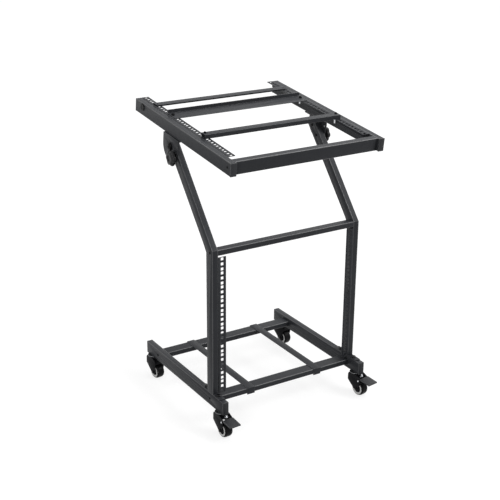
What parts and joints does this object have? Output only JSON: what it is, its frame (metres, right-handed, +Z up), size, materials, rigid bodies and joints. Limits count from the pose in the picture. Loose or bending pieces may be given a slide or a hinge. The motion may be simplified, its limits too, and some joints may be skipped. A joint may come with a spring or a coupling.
{
  "type": "studio rack stand",
  "caption": "Rolling studio rack stand with an upright rack between two posts, a tilting rack frame on top with cross bars, a strapped base and swivel casters.",
  "frame": {"origin": "on the floor under the middle of the stand's bounding box", "axes": "+X to the stand's right seen from the front, +Y from the front to the rear, +Z up"},
  "size_m": [0.5792, 0.5914, 0.9437],
  "materials": {
    "frame_coat": "fine satin powder coat, dark grey",
    "black_steel": "semi-gloss black",
    "zinc": "bright zinc plate",
    "black_plastic": "matt moulded",
    "tyre": "matt",
    "wheel_core": "matt light grey"
  },
  "bodies": {
    "stand": {"foot_left": "frame_coat", "foot_front_cap_left": "black_plastic", "foot_rear_cap_left": "black_plastic", "base_plate_left": "black_steel", "post_left": "frame_coat", "lower_rack_rail_left": "frame_coat", "pivot_bolt_left": "black_steel", "foot_right": "frame_coat", "foot_front_cap_right": "black_plastic", "foot_rear_cap_right": "black_plastic", "base_plate_right": "black_steel", "post_right": "frame_coat", "lower_rack_rail_right": "frame_coat", "pivot_bolt_right": "black_steel", "base_front_crossbar": "frame_coat", "base_rear_crossbar": "frame_coat", "mid_crossbar": "frame_coat", "caster_front_left_swivel_head": "zinc", "caster_front_right_swivel_head": "zinc", "caster_rear_left_swivel_head": "zinc", "caster_rear_right_swivel_head": "zinc"},
    "top_frame": {"top_front_tube": "frame_coat", "top_rear_bar": "frame_coat", "top_shelf_bar": "frame_coat", "top_front_bar": "frame_coat", "top_member_left": "frame_coat", "top_member_front_cap_left": "black_plastic", "top_member_rear_cap_left": "black_plastic", "top_rack_rail_left": "frame_coat", "tilt_bracket_left": "frame_coat", "top_member_right": "frame_coat", "top_member_front_cap_right": "black_plastic", "top_member_rear_cap_right": "black_plastic", "top_rack_rail_right": "frame_coat", "tilt_bracket_right": "frame_coat"},
    "strap_left": {"base_strap_left": "frame_coat"},
    "knob_left": {"lock_knob_left": "black_plastic"},
    "strap_right": {"base_strap_right": "frame_coat"},
    "knob_right": {"lock_knob_right": "black_plastic"},
    "caster_front_left": {"caster_front_left_fork": "black_steel", "caster_front_left_axle": "black_steel", "caster_front_left_pedal_pin": "zinc"},
    "wheel_front_left": {"caster_front_left_tyre": "tyre", "caster_front_left_rim": "wheel_core"},
    "pedal_front_left": {"caster_front_left_pedal": "black_plastic"},
    "caster_front_right": {"caster_front_right_fork": "black_steel", "caster_front_right_axle": "black_steel", "caster_front_right_pedal_pin": "zinc"},
    "wheel_front_right": {"caster_front_right_tyre": "tyre", "caster_front_right_rim": "wheel_core"},
    "pedal_front_right": {"caster_front_right_pedal": "black_plastic"},
    "caster_rear_left": {"caster_rear_left_fork": "black_steel", "caster_rear_left_axle": "black_steel"},
    "wheel_rear_left": {"caster_rear_left_tyre": "tyre", "caster_rear_left_rim": "wheel_core"},
    "caster_rear_right": {"caster_rear_right_fork": "black_steel", "caster_rear_right_axle": "black_steel"},
    "wheel_rear_right": {"caster_rear_right_tyre": "tyre", "caster_rear_right_rim": "wheel_core"}
  },
  "joints": [
    {"name": "top_tilt", "type": "hinge", "parent": "stand", "child": "top_frame", "pos_m": [0, 0.05731, 0.84455], "axis": [1, 0, 0], "range_deg": [0, 20]},
    {"name": "strap_left_slide", "type": "slide", "parent": "stand", "child": "strap_left", "axis": [1, 0, 0], "range_m": [-0.093, 0.1]},
    {"name": "knob_left_turn", "type": "hinge", "parent": "stand", "child": "knob_left", "pos_m": [-0.28, 0.03314, 0.81575], "axis": [1, 0, 0], "continuous": true},
    {"name": "strap_right_slide", "type": "slide", "parent": "stand", "child": "strap_right", "axis": [1, 0, 0], "range_m": [-0.1, 0.1]},
    {"name": "knob_right_turn", "type": "hinge", "parent": "stand", "child": "knob_right", "pos_m": [0.28, 0.03314, 0.81575], "axis": [1, 0, 0], "continuous": true},
    {"name": "caster_front_left_swivel", "type": "hinge", "parent": "stand", "child": "caster_front_left", "pos_m": [-0.256, -0.21559, 0.067], "axis": [0, 0, 1], "continuous": true},
    {"name": "wheel_front_left_spin", "type": "hinge", "parent": "caster_front_left", "child": "wheel_front_left", "pos_m": [-0.25485, -0.23756, 0.024], "axis": [0.9986, 0.0523, 0], "continuous": true},
    {"name": "pedal_front_left_press", "type": "hinge", "parent": "caster_front_left", "child": "pedal_front_left", "pos_m": [-0.25448, -0.24455, 0.055], "axis": [0.9986, 0.0523, 0], "range_deg": [0, 10]},
    {"name": "caster_front_right_swivel", "type": "hinge", "parent": "stand", "child": "caster_front_right", "pos_m": [0.256, -0.21559, 0.067], "axis": [0, 0, 1], "continuous": true},
    {"name": "wheel_front_right_spin", "type": "hinge", "parent": "caster_front_right", "child": "wheel_front_right", "pos_m": [0.25944, -0.23732, 0.024], "axis": [0.9877, 0.1564, 0], "continuous": true},
    {"name": "pedal_front_right_press", "type": "hinge", "parent": "caster_front_right", "child": "pedal_front_right", "pos_m": [0.26054, -0.24424, 0.055], "axis": [0.9877, 0.1564, 0], "range_deg": [0, 10]},
    {"name": "caster_rear_left_swivel", "type": "hinge", "parent": "stand", "child": "caster_rear_left", "pos_m": [-0.256, 0.23341, 0.067], "axis": [0, 0, 1], "continuous": true},
    {"name": "wheel_rear_left_spin", "type": "hinge", "parent": "caster_rear_left", "child": "wheel_rear_left", "pos_m": [-0.25408, 0.21149, 0.024], "axis": [0.9962, 0.0872, 0], "continuous": true},
    {"name": "caster_rear_right_swivel", "type": "hinge", "parent": "stand", "child": "caster_rear_right", "pos_m": [0.256, 0.23341, 0.067], "axis": [0, 0, 1], "continuous": true},
    {"name": "wheel_rear_right_spin", "type": "hinge", "parent": "caster_rear_right", "child": "wheel_rear_right", "pos_m": [0.25868, 0.21157, 0.024], "axis": [0.9925, 0.1219, 0], "continuous": true}
  ]
}
